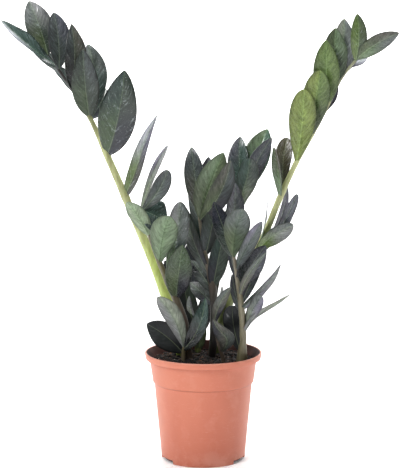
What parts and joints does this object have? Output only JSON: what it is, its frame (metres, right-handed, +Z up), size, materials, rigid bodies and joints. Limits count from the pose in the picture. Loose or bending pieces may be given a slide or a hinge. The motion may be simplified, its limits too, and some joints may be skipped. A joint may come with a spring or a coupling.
{
  "type": "potted plant",
  "caption": "Potted ZZ plant: upright and leaning fleshy stems with paired glossy leaflets, growing from soil in a tapered plastic nursery pot.",
  "frame": {"origin": "centre of the flat underside of the pot, on the surface it stands on", "axes": "+Z up along the pot's axis, -Y towards the side that the picture shows, +X to that view's right"},
  "size_m": [0.5633, 0.2237, 0.6626],
  "materials": {
    "pot": "moulded terracotta-coloured polypropylene, satin",
    "soil": "dark moist peat potting soil with brown fibres",
    "foliage": "waxy dark green to purple-black leaflets, pale matt undersides, smooth fleshy stalks"
  },
  "bodies": {
    "root": {"pot": "pot", "soil": "soil", "stem_left_tall": "foliage", "stem_left_inner": "foliage", "stem_centre": "foliage", "stem_centre_back": "foliage", "stem_right_front": "foliage", "stem_right_tall": "foliage", "shoot_left": "foliage", "shoot_middle": "foliage", "shoot_back": "foliage"}
  },
  "joints": []
}
